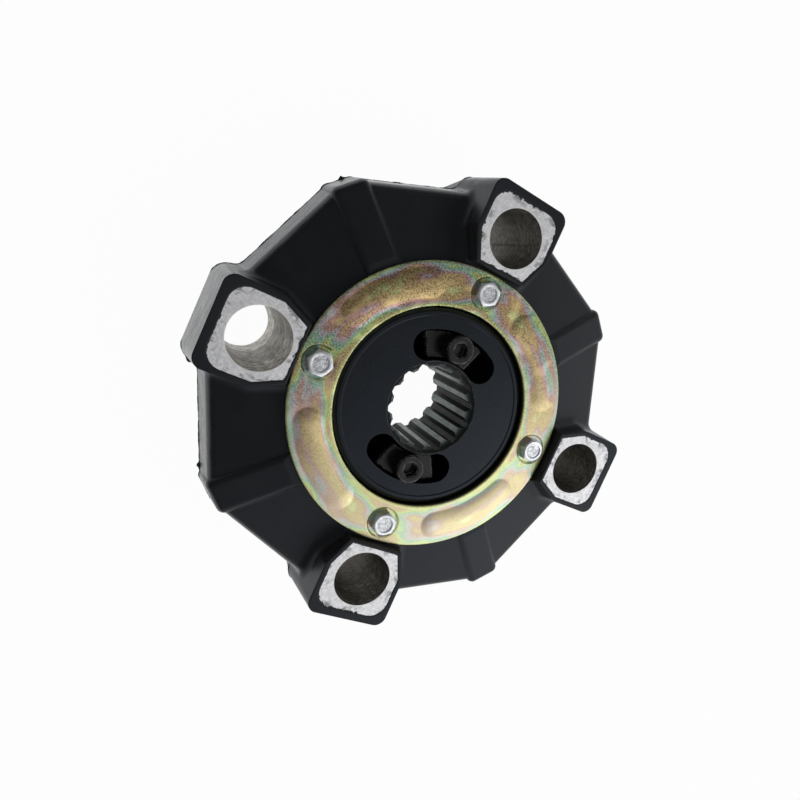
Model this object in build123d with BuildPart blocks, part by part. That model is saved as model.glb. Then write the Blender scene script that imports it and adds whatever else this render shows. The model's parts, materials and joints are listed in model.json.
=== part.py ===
from build123d import *
from math import atan, cos, degrees, pi, radians, tan
import os

# Flexible shaft coupling: a moulded rubber octagon with four aluminium bosses at its
# rim for the driving flange, and a splined steel hub in its middle for the driven shaft.
# Millimetres. The shaft's axis is Z, the front with the retaining ring faces +Z, and
# Z = 0 is the rear end of the four bosses. The bosses stand on the X and Y axes.

# Rubber body: its two halves meet at the mould's parting line, half way up the bosses,
# and its front lies this far below the ends of the bosses
half_height = 33.0          # parting line to either end of the bosses
flat_apothem = 94.0         # axis to each flat of the octagon at the parting line
wall_draft = 8.5            # degrees that the flats lean in
shoulder_drop = 16.0        # where the flats turn into the sloping faces
shoulder_round = 5.0
face_drop = 7.8             # inner end of the sloping faces
face_apothem = 61.0         # axis to the inner end of the sloping faces
seat_drop = 7.0             # flat land that the retaining ring lies on
centre_radius = 45.5        # round opening in the middle of the rubber

# Rib over each arm of the hub's star, at the corners between the bosses
boss_count = 4
corner_angle = 45.0         # from a boss to the next rib
rib_half_width = 8.2
rib_flat_end = 66.5         # radius where the rib's top starts to fall
rib_foot_radius = 99.8      # rib's outer face at the parting line
rib_tip_lean = 2.2          # how far its top edge lies further in
rib_tip_drop = 14.4         # top edge below the ends of the bosses
rib_tip_round = 4.0
rib_edge_round = 3.2

# Boss: an aluminium block in a rubber skin
boss_circle_radius = 79.7
bore_radius = 12.4
block_half_width = 16.3
block_outer_reach = 15.8    # bore's centre to the block's outer side
block_inner_reach = 14.6    # bore's centre to the block's inner side
block_inner_half_width = 11.0
block_bend = 3.4            # bore's centre to where the sides start to close in
block_corner_round = 7.4
skin_side = 2.3             # rubber beside the block at its end face
skin_outer = 3.6
skin_inner = 1.2
skin_corner_round = 7.4
skin_bend_round = 6.0
skin_draft = 4.68           # degrees that the skin's sides lean in
skin_root_radius = 50.0     # the skin's sides run in under the ring to here
foot_round = 5.0            # hollow round between boss and body

# Retaining ring: pressed sheet with a bead between each two dished bolt seats
ring_outer_radius = 63.0
ring_inner_radius = 44.5
ring_thickness = 2.5
ring_edge_bevel = 0.3
ring_room = 0.4             # rubber cut back round the ring
ring_overhang = 1.0         # ring's edge reaches past the flat land under it
ledge_half_width = 14.7     # straight cut of the rubber between ring and block
bolt_edge_distance = 8.6    # ring's outer edge to the bolts' centres
dish_depth = 1.0
dish_floor_radius = 6.6
dish_mouth_radius = 7.2
dish_back_radius = 6.1      # back of the dish at its floor
dish_back_mouth = 6.7       # back of the dish where it leaves the sheet
dish_room = 0.4             # rubber round the back of the dish
bolt_hole_radius = 3.4
bead_edge_distance = 8.8    # ring's outer edge to the middle of the bead
bead_half_width = 6.4
bead_height = 1.2
bead_half_angle = 18.6      # degrees from a bead's middle to the centre of its end
bead_sink = 0.5             # the bead's solid starts this far inside the sheet

# Ring bolt: indented hexagon head
bolt_radius = 3.0
bolt_grip = 20.0            # length under the head
bolt_head_flats = 10.0
bolt_head_height = 4.0
bolt_dent_radius = 3.4
bolt_dent_depth = 0.4
bolt_face_radius = 4.5      # round top face inside the head's bevel
head_bevel_angle = 30.0
thread_clearance = 0.05     # screw to its tapped hole

# Hub with the star that is moulded into the rubber
hub_face_drop = 6.8         # hub's front face below the ends of the bosses
hub_length = 43.2
barrel_radius = 43.6
barrel_bevel = 1.6
barrel_bevel_depth = 0.8
rim_radius = 40.2           # face is turned down inside this, up to a low rim
rim_slope = 0.4
rim_height = 0.3
core_rear_step = 1.0        # hub's rear end stands this far out of its thick middle
arm_half_width = 7.0
arm_reach = 84.0
arm_half_length = 15.0
lug_half_width = 9.0
lug_beyond_bolt = 6.1       # bolt's centre to the end of the lug
lug_length = 26.0
lug_corner_round = 3.0
tapped_depth = 22.0

# Spline for the driven shaft
spline_teeth = 14
spline_tip_radius = 17.5
spline_root_radius = 19.8
spline_gap_at_tip = 5.2
spline_flank_angle = 30.0
spline_root_round = 0.5
spline_mouth_radius = 20.6
spline_mouth_depth = 2.4
spline_rear_bevel = 1.2
spline_turn = 21.86         # degrees from +X to the middle of one gap

# Clamping wedges in two kidney shaped pockets
wedge_count = 2
pocket_circle_radius = 27.9
pocket_width = 13.4
pocket_half_angle = 29.7    # to the centre of each rounded end
pocket_depth = 18.0
wedge_side_gap = 0.4
wedge_lead_angle = 28.4     # degrees from the screw to the wedge's two ends
wedge_trail_angle = 23.8
wedge_drop = 3.4            # wedge's top below the hub's face
wedge_edge_bevel = 0.8
wedge_corner_round = 1.5
clamp_hole_radius = 4.5
clamp_screw_radius = 4.0
clamp_screw_grip = 30.0     # length under the head
clamp_head_radius = 6.3
clamp_head_height = 8.0
clamp_socket_flats = 6.0
clamp_socket_depth = 4.0
clamp_head_bevel = 0.6
clamp_socket_mouth = 3.8    # radius of the countersink at the socket's mouth
clamp_turn = 1.5            # degrees that the screws stand past the pockets' middles
tapped_tail = 2.0           # tapped hole runs on past the screw's end

# Heights and shapes that follow
parting = half_height
boss_end = 2 * half_height
shoulder = boss_end - shoulder_drop
face_end = boss_end - face_drop
ring_seat = boss_end - seat_drop
rib_tip_radius = rib_foot_radius - rib_tip_lean
rib_tip = boss_end - rib_tip_drop
ring_face = ring_seat + ring_thickness
dish_floor = ring_face - dish_depth
dish_back = dish_floor - ring_thickness
lug_top = dish_back
hub_face = boss_end - hub_face_drop
hub_rear = hub_face - hub_length
pocket_floor = hub_face - pocket_depth
wedge_top = hub_face - wedge_drop
clamp_screw_end = wedge_top - clamp_screw_grip
core_half_length = parting - hub_rear - core_rear_step
bolt_circle_radius = ring_outer_radius - bolt_edge_distance
bead_radius = ring_outer_radius - bead_edge_distance
lug_reach = bolt_circle_radius + lug_beyond_bolt
shoulder_apothem = flat_apothem - (shoulder - parting) * tan(radians(wall_draft))
face_lean = degrees(atan((shoulder_apothem - face_apothem) / (face_end - shoulder)))
skin_flare = half_height * tan(radians(skin_draft))
block_near = boss_circle_radius - block_inner_reach
block_closing = (block_half_width - block_inner_half_width) / (block_inner_reach - block_bend)
pocket_first_angle = 90.0
clamp_first_angle = pocket_first_angle + clamp_turn
spare = 1.0                 # how far a cutting tool runs past what it cuts
hair = 0.01                 # tolerance when an edge is picked by its height

os.makedirs("parts", exist_ok=True)


def finish(piece, label):
    """Name a finished piece and write it out."""
    piece.part.label = label
    export_step(piece.part, "parts/" + label + ".step")


def finish_copies(piece, label, places):
    """Write a copy of one piece at each place, numbered from 1."""
    for number, place in enumerate(places, start=1):
        with BuildPart() as copied:
            with Locations(place):
                add(piece.part)
        finish(copied, f"{label}_{number}")


def block_outline(side, outer, near, bend_round, corner_round):
    """Outline of a boss along +X: the bare block grown by its side and outer skins."""
    bend = boss_circle_radius - block_bend
    far = boss_circle_radius + block_outer_reach + outer
    half_width = block_half_width + side
    near_half_width = half_width - (bend - near) * block_closing
    with BuildSketch(mode=Mode.PRIVATE) as outline:
        with BuildLine():
            Polyline(
                (near, -near_half_width),
                (bend, -half_width),
                (far, -half_width),
                (far, half_width),
                (bend, half_width),
                (near, near_half_width),
                close=True,
            )
        make_face()
        if bend_round > 0:
            fillet(outline.vertices().group_by(Axis.X)[1], bend_round)
        fillet(outline.vertices().group_by(Axis.X)[-1], corner_round)
    return outline.sketch


# Hub's star: thick middle, four arms under the ribs and four lugs under the ring bolts
with BuildPart() as star:
    with BuildSketch(Plane.XY.offset(parting - core_half_length)):
        Circle(centre_radius)
    extrude(amount=2 * core_half_length)
    with BuildSketch(Plane.XY.offset(parting - arm_half_length)):
        with PolarLocations(0, boss_count, start_angle=corner_angle):
            with Locations(((arm_reach - arm_half_width) / 2, 0)):
                SlotOverall(arm_reach + arm_half_width, 2 * arm_half_width)
    extrude(amount=2 * arm_half_length)
    with BuildSketch(Plane.XY.offset(lug_top - lug_length)) as lugs:
        with PolarLocations(0, boss_count):
            with Locations(((lug_reach + barrel_radius) / 2, 0)):
                Rectangle(lug_reach - barrel_radius, 2 * lug_half_width)
        outer_corners = lugs.vertices().filter_by(
            lambda corner: corner.distance_to(Vertex(0, 0, corner.Z)) > lug_reach
        )
        fillet(outer_corners, lug_corner_round)
    extrude(amount=lug_length)
    with BuildSketch(Plane.XY.offset(parting + core_half_length)):
        Circle(centre_radius)
    extrude(amount=lug_top - parting, mode=Mode.SUBTRACT)

# One rib, along +X, front half
with BuildPart() as rib:
    with BuildSketch(Plane.XZ) as rib_side:
        with BuildLine():
            Polyline(
                (centre_radius + spare, parting),
                (rib_foot_radius, parting),
                (rib_tip_radius, rib_tip),
                (rib_flat_end, ring_seat),
                (centre_radius + spare, ring_seat),
                close=True,
            )
        make_face()
        fillet(rib_side.vertices().sort_by(Axis.X)[-2], rib_tip_round)
    extrude(amount=rib_half_width, both=True)
    flank_edges = rib.faces().filter_by(Axis.Y).edges()
    upper_edges = flank_edges.filter_by(
        lambda edge: edge.center().Z > parting + spare and edge.center().X > rib_flat_end - spare
    )
    fillet(upper_edges, rib_edge_round)

# What the rib's outer face cuts off the octagon's corner
with BuildPart() as corner_cut:
    with BuildSketch(Plane.XZ):
        rib_lean = rib_tip_lean / (rib_tip - parting)
        with BuildLine():
            Polyline(
                (rib_foot_radius, parting),
                (rib_foot_radius + rib_half_width, parting),
                (rib_foot_radius + rib_half_width, boss_end),
                (rib_foot_radius - rib_lean * half_height, boss_end),
                close=True,
            )
        make_face()
    extrude(amount=rib_half_width, both=True)

# One boss skin, along +X, front half
with BuildPart() as boss_skin:
    with BuildSketch(Plane.XY.offset(parting)):
        add(
            block_outline(
                skin_side + skin_flare,
                skin_outer + skin_flare,
                skin_root_radius,
                skin_bend_round,
                skin_corner_round,
            )
        )
    extrude(amount=half_height, taper=skin_draft)

# One aluminium block, along +X, still without its bore
with BuildPart() as block:
    with BuildSketch():
        add(block_outline(0, 0, block_near, 0, block_corner_round))
    extrude(amount=boss_end)

# Rubber body, front half first and then mirrored at the parting line
with BuildPart() as rubber_body:
    with BuildSketch(Plane.XY.offset(parting)):
        RegularPolygon(flat_apothem, 2 * boss_count, major_radius=False)
    extrude(amount=shoulder - parting, taper=wall_draft)
    with BuildSketch(Plane.XY.offset(shoulder)):
        RegularPolygon(shoulder_apothem, 2 * boss_count, major_radius=False)
    extrude(amount=face_end - shoulder, taper=face_lean)
    shoulder_edges = rubber_body.edges().filter_by(GeomType.LINE).filter_by_position(
        Axis.Z, shoulder - hair, shoulder + hair
    )
    fillet(shoulder_edges, shoulder_round)
    with PolarLocations(0, boss_count):
        add(boss_skin.part)
    foot_edges = rubber_body.edges(Select.NEW).filter_by_position(
        Axis.Z, parting, face_end, inclusive=(False, True)
    )
    fillet(foot_edges, foot_round)
    with PolarLocations(0, boss_count, start_angle=corner_angle):
        add(corner_cut.part, mode=Mode.SUBTRACT)
    with PolarLocations(0, boss_count, start_angle=corner_angle):
        add(rib.part)
    with BuildSketch(Plane.XY.offset(parting)):
        Circle(ring_outer_radius - ring_overhang)
    extrude(amount=ring_seat - parting)
    with BuildSketch(Plane.XY.offset(ring_seat)):
        Circle(ring_outer_radius + ring_room)
        with PolarLocations(0, boss_count):
            with Locations(((block_near - skin_inner) / 2, 0)):
                Rectangle(block_near - skin_inner, 2 * ledge_half_width)
    extrude(amount=half_height, mode=Mode.SUBTRACT)
    mirror(about=Plane.XY.offset(parting))
    with BuildSketch():
        Circle(centre_radius)
    extrude(amount=boss_end, mode=Mode.SUBTRACT)
    with PolarLocations(0, boss_count):
        add(block.part, mode=Mode.SUBTRACT)
    add(star.part, mode=Mode.SUBTRACT)
    with BuildSketch(Plane.XY.offset(lug_top)):
        with PolarLocations(bolt_circle_radius, boss_count):
            Circle(dish_back_mouth + dish_room)
    extrude(amount=ring_seat - lug_top, mode=Mode.SUBTRACT)

# Aluminium block with its bore
with BuildPart() as boss_insert:
    add(block.part)
    with BuildSketch():
        with Locations((boss_circle_radius, 0)):
            Circle(bore_radius)
    extrude(amount=boss_end, mode=Mode.SUBTRACT)

# Front frustum and back frustum of one dish, along the bolt's axis
with BuildPart() as dish_hollow:
    with BuildSketch(Plane.XY.offset(dish_floor)):
        Circle(dish_floor_radius)
    with BuildSketch(Plane.XY.offset(ring_face)):
        Circle(dish_mouth_radius)
    loft()
    with BuildSketch(Plane.XY.offset(ring_face)):
        Circle(dish_mouth_radius)
    extrude(amount=spare)
with BuildPart() as dish_bulge:
    with BuildSketch(Plane.XY.offset(dish_back)):
        Circle(dish_back_radius)
    with BuildSketch(Plane.XY.offset(ring_seat)):
        Circle(dish_back_mouth)
    loft()

# Half of the bead's section: one shallow arc from its crest down to its foot
with BuildSketch(Plane.XZ) as half_bead:
    with BuildLine():
        crest = (bead_radius, ring_face + bead_height)
        foot = (bead_radius + bead_half_width, ring_face)
        TangentArc(crest, foot, tangent=(1, 0))
        Polyline(
            foot,
            (bead_radius + bead_half_width, ring_face - bead_sink),
            (bead_radius, ring_face - bead_sink),
            crest,
        )
    make_face()

# One bead: a ridge along an arc of the ring, closed by half a dome at each end
with BuildPart() as bead:
    with BuildSketch(Plane.XZ):
        add(half_bead.sketch_local)
        mirror(half_bead.sketch_local, about=Plane.YZ.offset(bead_radius))
    revolve(axis=Axis.Z, revolution_arc=2 * bead_half_angle)
with BuildPart() as bead_end:
    with BuildSketch(Plane.XZ):
        add(half_bead.sketch_local)
    revolve(axis=Axis((bead_radius, 0, 0), (0, 0, 1)))

# Retaining ring
with BuildPart() as retaining_ring:
    with BuildSketch(Plane.XZ) as ring_section:
        with BuildLine():
            Polyline(
                (ring_inner_radius, ring_seat),
                (ring_outer_radius, ring_seat),
                (ring_outer_radius, ring_face),
                (ring_inner_radius, ring_face),
                close=True,
            )
        make_face()
        chamfer(ring_section.vertices().group_by(Axis.Y)[-1], ring_edge_bevel)
    revolve(axis=Axis.Z)
    for way, drop in ((Mode.ADD, 0), (Mode.SUBTRACT, -ring_thickness)):
        with Locations((0, 0, drop)):
            with PolarLocations(0, boss_count, start_angle=corner_angle - bead_half_angle):
                add(bead.part, mode=way)
            for end_angle in (-bead_half_angle, bead_half_angle):
                with PolarLocations(0, boss_count, start_angle=corner_angle + end_angle):
                    add(bead_end.part, mode=way)
    with PolarLocations(bolt_circle_radius, boss_count):
        add(dish_bulge.part)
        add(dish_hollow.part, mode=Mode.SUBTRACT)
    with BuildSketch(Plane.XY.offset(dish_back)):
        with PolarLocations(bolt_circle_radius, boss_count):
            Circle(bolt_hole_radius)
    extrude(amount=ring_thickness, mode=Mode.SUBTRACT)

# Ring bolt, its head cut by a cone and dented in the middle
with BuildPart() as ring_bolt:
    bolt_top = dish_floor + bolt_head_height
    head_corner = bolt_head_flats / 2 / cos(pi / 6)
    bevel_depth = (head_corner - bolt_face_radius) * tan(radians(head_bevel_angle))
    with BuildSketch(Plane.XY.offset(dish_floor)):
        RegularPolygon(bolt_head_flats / 2, 6, major_radius=False)
    extrude(amount=bolt_head_height)
    with BuildSketch(Plane.XZ):
        with BuildLine():
            Polyline(
                (0, dish_floor),
                (head_corner, dish_floor),
                (head_corner, bolt_top - bevel_depth),
                (bolt_face_radius, bolt_top),
                (0, bolt_top),
                close=True,
            )
        make_face()
    revolve(axis=Axis.Z, mode=Mode.INTERSECT)
    with BuildSketch(Plane.XY.offset(bolt_top)):
        Circle(bolt_dent_radius)
    extrude(amount=-bolt_dent_depth, mode=Mode.SUBTRACT)
    with BuildSketch(Plane.XY.offset(dish_floor)):
        Circle(bolt_radius)
    extrude(amount=-bolt_grip)

# One gap of the spline, along +X
with BuildSketch() as spline_gap:
    gap_slope = tan(radians(spline_flank_angle))
    gap_start = spline_tip_radius - spare
    start_half_width = spline_gap_at_tip / 2 + spare * gap_slope
    root_half_width = spline_gap_at_tip / 2 - (spline_root_radius - spline_tip_radius) * gap_slope
    with BuildLine():
        Polyline(
            (gap_start, -start_half_width),
            (spline_root_radius, -root_half_width),
            (spline_root_radius, root_half_width),
            (gap_start, start_half_width),
            close=True,
        )
    make_face()
    fillet(spline_gap.vertices().group_by(Axis.X)[-1], spline_root_round)

# One kidney shaped pocket, along +X
with BuildSketch() as pocket_outline:
    pocket_line = CenterArc(
        (0, 0), pocket_circle_radius, -pocket_half_angle, 2 * pocket_half_angle, mode=Mode.PRIVATE
    )
    SlotArc(pocket_line, pocket_width)

# Hub: the star with its barrel, bored, splined, pocketed and tapped
with BuildPart() as hub:
    add(star.part)
    with BuildSketch(Plane.XZ):
        with BuildLine():
            Polyline(
                (0, hub_rear),
                (barrel_radius, hub_rear),
                (barrel_radius, hub_face + rim_height - barrel_bevel_depth),
                (barrel_radius - barrel_bevel, hub_face + rim_height),
                (rim_radius + rim_slope, hub_face + rim_height),
                (rim_radius, hub_face),
                (0, hub_face),
                close=True,
            )
        make_face()
    revolve(axis=Axis.Z)
    with BuildSketch():
        Circle(spline_tip_radius)
        with PolarLocations(0, spline_teeth, start_angle=spline_turn):
            add(spline_gap.sketch)
    extrude(amount=boss_end, mode=Mode.SUBTRACT)
    with BuildSketch(Plane.XZ):
        with BuildLine():
            Polyline(
                (0, hub_face),
                (0, hub_face - spline_mouth_depth),
                (spline_mouth_radius - spline_mouth_depth, hub_face - spline_mouth_depth),
                (spline_mouth_radius, hub_face),
                close=True,
            )
        make_face()
        with BuildLine():
            Polyline(
                (0, hub_rear),
                (spline_tip_radius + spline_rear_bevel, hub_rear),
                (spline_tip_radius, hub_rear + spline_rear_bevel),
                (0, hub_rear + spline_rear_bevel),
                close=True,
            )
        make_face()
    revolve(axis=Axis.Z, mode=Mode.SUBTRACT)
    with BuildSketch(Plane.XY.offset(hub_face)):
        with PolarLocations(0, wedge_count, start_angle=pocket_first_angle):
            add(pocket_outline.sketch)
    extrude(amount=-pocket_depth, mode=Mode.SUBTRACT)
    with BuildSketch(Plane.XY.offset(pocket_floor)):
        with PolarLocations(pocket_circle_radius, wedge_count, start_angle=clamp_first_angle):
            Circle(clamp_screw_radius + thread_clearance)
    extrude(amount=-(pocket_floor - clamp_screw_end + tapped_tail), mode=Mode.SUBTRACT)
    with BuildSketch(Plane.XY.offset(lug_top)):
        with PolarLocations(bolt_circle_radius, boss_count):
            Circle(bolt_radius + thread_clearance)
    extrude(amount=-tapped_depth, mode=Mode.SUBTRACT)

# Clamping wedge, along +X
with BuildPart() as clamp_wedge:
    with BuildSketch(Plane.XY.offset(pocket_floor)) as wedge_outline:
        wedge_half_width = pocket_width / 2 - wedge_side_gap
        with BuildLine():
            outer_side = CenterArc(
                (0, 0),
                pocket_circle_radius + wedge_half_width,
                -wedge_trail_angle,
                wedge_lead_angle + wedge_trail_angle,
            )
            inner_side = CenterArc(
                (0, 0),
                pocket_circle_radius - wedge_half_width,
                -wedge_trail_angle,
                wedge_lead_angle + wedge_trail_angle,
            )
            Line(outer_side @ 0, inner_side @ 0)
            Line(outer_side @ 1, inner_side @ 1)
        make_face()
        fillet(wedge_outline.vertices(), wedge_corner_round)
    extrude(amount=wedge_top - pocket_floor)
    chamfer(clamp_wedge.faces().sort_by(Axis.Z)[-1].edges(), wedge_edge_bevel)
    with BuildSketch(Plane.XY.offset(pocket_floor)):
        with Locations((pocket_circle_radius, 0)):
            Circle(clamp_hole_radius)
    extrude(amount=wedge_top - pocket_floor, mode=Mode.SUBTRACT)

# Clamping screw with its socket head
with BuildPart() as clamp_screw:
    with BuildSketch(Plane.XY.offset(wedge_top)):
        Circle(clamp_head_radius)
    extrude(amount=clamp_head_height)
    chamfer(clamp_screw.faces().sort_by(Axis.Z)[-1].edges(), clamp_head_bevel)
    with BuildSketch(Plane.XY.offset(wedge_top + clamp_head_height)):
        RegularPolygon(clamp_socket_flats / 2, 6, major_radius=False)
    extrude(amount=-clamp_socket_depth, mode=Mode.SUBTRACT)
    with BuildSketch(Plane.XY.offset(wedge_top + clamp_head_height)):
        Circle(clamp_socket_mouth)
    mouth_depth = (clamp_socket_mouth - clamp_socket_flats / 2) / 2
    extrude(amount=-mouth_depth, taper=60, mode=Mode.SUBTRACT)
    with BuildSketch(Plane.XY.offset(wedge_top)):
        Circle(clamp_screw_radius)
    extrude(amount=-clamp_screw_grip)

finish(rubber_body, "rubber_body")
finish(hub, "hub")
finish(retaining_ring, "retaining_ring")
boss_places = PolarLocations(0, boss_count)
finish_copies(boss_insert, "boss_insert", boss_places)
bolt_places = PolarLocations(bolt_circle_radius, boss_count)
finish_copies(ring_bolt, "ring_bolt", bolt_places)
wedge_places = PolarLocations(0, wedge_count, start_angle=clamp_first_angle)
finish_copies(clamp_wedge, "clamp_wedge", wedge_places)
screw_places = PolarLocations(pocket_circle_radius, wedge_count, start_angle=clamp_first_angle)
finish_copies(clamp_screw, "clamp_screw", screw_places)
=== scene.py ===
import json
from math import atan2, degrees, exp, radians

import bmesh
import bpy
from bpy.props import FloatProperty, FloatVectorProperty, PointerProperty
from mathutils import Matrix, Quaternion, Vector, noise


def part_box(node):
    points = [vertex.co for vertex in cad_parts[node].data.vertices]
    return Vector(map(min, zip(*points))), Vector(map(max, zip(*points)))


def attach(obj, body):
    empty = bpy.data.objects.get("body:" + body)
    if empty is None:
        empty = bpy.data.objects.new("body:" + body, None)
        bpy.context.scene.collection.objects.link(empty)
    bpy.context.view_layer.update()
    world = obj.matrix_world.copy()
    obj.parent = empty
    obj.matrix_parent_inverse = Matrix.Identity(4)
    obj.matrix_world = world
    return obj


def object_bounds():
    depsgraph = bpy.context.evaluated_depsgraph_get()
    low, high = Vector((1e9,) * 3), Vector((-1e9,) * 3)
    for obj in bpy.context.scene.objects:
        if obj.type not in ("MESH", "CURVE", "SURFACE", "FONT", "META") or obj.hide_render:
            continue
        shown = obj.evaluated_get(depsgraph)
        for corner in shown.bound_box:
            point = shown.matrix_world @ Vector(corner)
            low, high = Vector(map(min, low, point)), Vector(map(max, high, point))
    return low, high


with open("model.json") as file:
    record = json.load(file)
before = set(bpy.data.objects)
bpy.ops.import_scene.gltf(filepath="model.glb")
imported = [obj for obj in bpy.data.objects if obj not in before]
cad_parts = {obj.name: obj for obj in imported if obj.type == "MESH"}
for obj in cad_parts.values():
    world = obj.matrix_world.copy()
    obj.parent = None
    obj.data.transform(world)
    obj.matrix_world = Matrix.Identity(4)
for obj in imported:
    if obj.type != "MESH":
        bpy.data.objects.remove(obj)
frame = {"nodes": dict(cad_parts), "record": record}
cad_low, cad_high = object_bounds()

# A flexible shaft coupling: moulded rubber body with aluminium blocks in its four bosses,
# a yellow passivated retaining ring with bright bolts, and a black splined hub.
# Metres. The shaft's axis is Z and the bosses stand on the X and Y axes.

bl_info = {
    "name": "Shaft coupling finishes",
    "version": (1, 0, 0),
    "blender": (4, 5, 0),
    "location": "3D View > Sidebar > Coupling",
    "description": "Dresses the pieces of a flexible shaft coupling and sets up its studio",
    "category": "Object",
}

# Sizes read from the frame
BODY = "root"
MM = 0.001
mounts = {mount["name"]: mount for mount in frame["record"]["mounts"]}
boss_bore = mounts["boss_bore_1"]
boss_radius = boss_bore["pos_m"][0]
bore_radius = boss_bore["dims"]["r_mm"] * MM
parting_height = boss_bore["pos_m"][2]
block_low, block_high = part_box("boss_insert_1")
ring_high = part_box("retaining_ring")[1]
bolt_low, bolt_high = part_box("ring_bolt_1")
bolt_circle = (bolt_low.x + bolt_high.x) / 2

# Sizes of the finishes that the frame doesn't give
BLOCK_CORNER_ROUND = 7.4 * MM
BLOCK_BEND = 3.4 * MM               # bore's centre to where the block starts to close in
BLOCK_INNER_HALF_WIDTH = 11.0 * MM
RING_MIDDLE = 54.2 * MM             # circle along the crests of the ring's beads
RING_HALF_WIDTH = ring_high.x - RING_MIDDLE
DISH_RADIUS = 7.2 * MM
DENT_RADIUS = 3.4 * MM              # dent in the head of a ring bolt
SPLINE_TIP_RADIUS = 17.5 * MM
SPLINE_MOUTH_RADIUS = 20.7 * MM
BOSSES = 4
CLAMPS = 2

# Fin of mould flash
FIN_ROOT = 0.5 * MM                 # how deep its root lies in the rubber
FIN_LEAST = 0.15                    # least share of its reach
FIN_WAVES = (180.0, 700.0)          # long and short waves of its edge, per metre
FIN_SWAY = 0.12 * MM                # how far its edge wanders up and down
FIN_SWAY_WAVES = 400.0              # per metre
FIN_TAGS = ((133.8, 0.5), (-140.9, 0.6), (-167.6, 0.4), (41.0, 0.4), (-52.5, 0.5))  # degrees
PARTING_LEVEL = 0.01 * MM           # how far off the parting plane its edges may lie
WELD = 0.002 * MM                   # corners of the mesh that are closer are one
FLOOR_GAP = 0.05 * MM

# Where the photograph's marks lie, in millimetres
LIT_BORE_X = (-60.0, -66.0)     # the bore on -X gets less stain: painted lighter as the bore that the light falls into
LIT_SIDE_DIRECTION = (0.5, -0.87, 0.0)  # side of the ring painted paler as painted light, towards the lamps
LIT_SIDE_REACH = (-50.0, 62.0)
CLOUD_LENGTH = 27.0                 # colour clouds of the ring, along it and across it
CLOUD_WIDTH = 8.0

WHITE = (1.0, 1.0, 1.0)


def colour_property(name, description, default):
    """A colour that the user can change."""
    return FloatVectorProperty(
        name=name, description=description, default=default, subtype="COLOR",
        size=3, min=0.0, max=1.0,
    )


def share_property(name, description, default):
    """A number from 0 to 1 that the user can change."""
    return FloatProperty(
        name=name, description=description, default=default, min=0.0, max=1.0, subtype="FACTOR"
    )


def length_property(name, description, default):
    """A length in metres that the user can change."""
    return FloatProperty(
        name=name, description=description, default=default, min=0.0, unit="LENGTH", precision=5
    )


def angle_property(name, description, default):
    """An angle that the user can change, its default in degrees."""
    return FloatProperty(
        name=name, description=description, default=radians(default), subtype="ANGLE"
    )


def power_property(name, description, default):
    """A lamp's watts that the user can change."""
    return FloatProperty(name=name, description=description, default=default, min=0.0, unit="POWER")


def strength_property(name, description, default):
    """A light's strength that the user can change."""
    return FloatProperty(name=name, description=description, default=default, min=0.0)


class RubberSettings(bpy.types.PropertyGroup):
    """Finish of the moulded rubber."""

    colour: colour_property("Colour", "Clean moulded rubber", (0.0122, 0.0116, 0.0136))
    bloom: colour_property("Bloom", "Grey bloom on handled rubber", (0.0185, 0.0185, 0.0205))
    # The dust colour is partly painted sheen: it lightens the side walls as their grazing
    # reflection would.
    dust_and_sheen: colour_property("Dust", "Dust and powder on the side walls", (0.150, 0.150, 0.147))
    sheen: colour_property("Sheen", "Tint of the reflections", (0.74, 0.88, 1.0))
    # Share of the side walls lightened with dust and painted sheen.
    wall_dust_and_sheen: share_property("Wall dust", "How much of the side walls is dusty", 0.55)
    roughness: share_property("Roughness", "Roughness of the moulded faces", 0.36)
    peel_size: length_property("Orange peel", "Size of the moulded skin's waves", 1.3 * MM)


class FlashSettings(bpy.types.PropertyGroup):
    """Thin rubber fin that the mould leaves at its parting line."""

    reach: length_property("Reach", "Most that the fin stands out", 0.42 * MM)
    thickness: length_property("Thickness", "Fin's thickness at its root", 0.5 * MM)
    tag_reach: length_property("Tag reach", "Length of the torn tags", 1.2 * MM)
    spacing: length_property("Spacing", "Step along the parting line", 0.8 * MM)


class AluminiumSettings(bpy.types.PropertyGroup):
    """Finish of the four aluminium blocks."""

    face: colour_property("End face", "Milled end of a block", (0.84, 0.842, 0.86))
    grime: colour_property("Grime", "Dark smears on the end faces", (0.10, 0.10, 0.105))
    bore: colour_property("Bore", "Drawn wall of the bore", (0.80, 0.77, 0.70))
    # Brown stain in the bores, which also stands in for the shade in them as painted shade.
    bore_stain_and_shade: colour_property("Bore stain", "Brown stain deep in the bore", (0.125, 0.112, 0.090))
    scratch: colour_property("Scratch", "Scratches on the end faces", (0.30, 0.30, 0.31))
    # The rim colour is a painted highlight along the bore's edge.
    rim: colour_property("Rim", "Bright line round the bore", (0.78, 0.78, 0.77))
    worn: colour_property("Worn", "Worn corners", (0.70, 0.70, 0.70))
    rubber_rag: length_property("Rubber rag", "Ragged rubber lapping on to the face", 1.1 * MM)
    step_depth: length_property("Step depth", "Where the bore's wall changes tone", 18.0 * MM)


class RingSettings(bpy.types.PropertyGroup):
    """Yellow passivated zinc with its changing colours."""

    gold: colour_property("Gold", "Main colour along the beads", (0.66, 0.49, 0.24))
    rose: colour_property("Rose", "Reddish bands", (0.62, 0.38, 0.32))
    lilac: colour_property("Lilac", "Greyish violet bands", (0.58, 0.53, 0.55))
    green: colour_property("Green", "Green bands", (0.37, 0.58, 0.44))
    lime: colour_property("Lime", "Yellow green bands", (0.60, 0.72, 0.29))
    lemon: colour_property("Lemon", "Light edges", (0.72, 0.72, 0.34))
    # Painted light: the paler colour laid over the side of the ring towards the lamps.
    pale_lit_side: colour_property("Pale", "Side where the bath ran off", (0.64, 0.70, 0.50))
    scratch: colour_property("Scratch", "Scratches", (0.10, 0.09, 0.06))
    roughness: share_property("Roughness", "Roughness of the sheet", 0.36)
    drift: share_property("Drift", "How far the colours wander", 0.60)


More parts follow.
